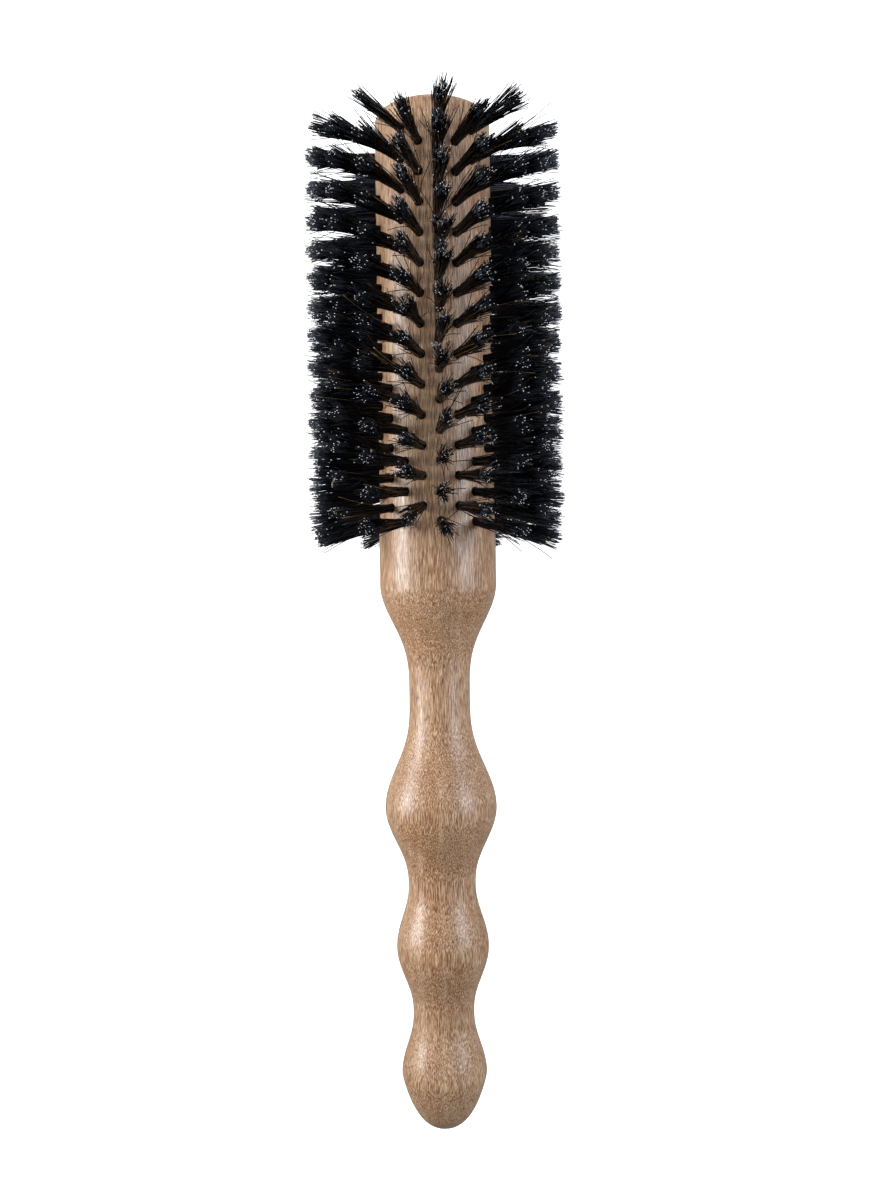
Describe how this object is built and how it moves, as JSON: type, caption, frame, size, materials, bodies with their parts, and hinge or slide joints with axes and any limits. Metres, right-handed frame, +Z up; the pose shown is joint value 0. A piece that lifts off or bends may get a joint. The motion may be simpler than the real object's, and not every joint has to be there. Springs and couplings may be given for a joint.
{
  "type": "round barrel brush",
  "caption": "Round hair brush with a turned wooden body, a wavy grip, a bare collar and rows of dark bristle tufts standing out all round the barrel.",
  "frame": {"origin": "middle of the brush's bounding box, on the surface that it lies on", "axes": "+X along the brush from the handle's end to the barrel's end, +Z up, the brush lying on two rows of bristles"},
  "size_m": [0.251, 0.0644, 0.0644],
  "materials": {
    "wood": "satin",
    "bristle": "gloss",
    "anchor_wire": "satin"
  },
  "bodies": {
    "root": {"brush_body": "wood", "bristle_row_01": "bristle", "bristle_row_02": "bristle", "bristle_row_03": "bristle", "bristle_row_04": "bristle", "bristle_row_05": "bristle", "bristle_row_06": "bristle", "bristle_row_07": "bristle", "bristle_row_08": "bristle", "bristle_row_09": "bristle", "bristle_row_10": "bristle", "bristle_row_11": "bristle", "bristle_row_12": "bristle", "bristle_row_13": "bristle", "bristle_row_14": "bristle", "bristle_row_15": "bristle", "bristle_row_16": "bristle", "bristle_row_17": "bristle", "bristle_row_18": "bristle", "bristle_row_19": "bristle", "bristle_row_20": "bristle", "anchor_row_01": "anchor_wire", "anchor_row_02": "anchor_wire", "anchor_row_03": "anchor_wire", "anchor_row_04": "anchor_wire", "anchor_row_05": "anchor_wire", "anchor_row_06": "anchor_wire", "anchor_row_07": "anchor_wire", "anchor_row_08": "anchor_wire", "anchor_row_09": "anchor_wire", "anchor_row_10": "anchor_wire", "anchor_row_11": "anchor_wire", "anchor_row_12": "anchor_wire", "anchor_row_13": "anchor_wire", "anchor_row_14": "anchor_wire", "anchor_row_15": "anchor_wire", "anchor_row_16": "anchor_wire", "anchor_row_17": "anchor_wire", "anchor_row_18": "anchor_wire", "anchor_row_19": "anchor_wire", "anchor_row_20": "anchor_wire"}
  },
  "joints": []
}
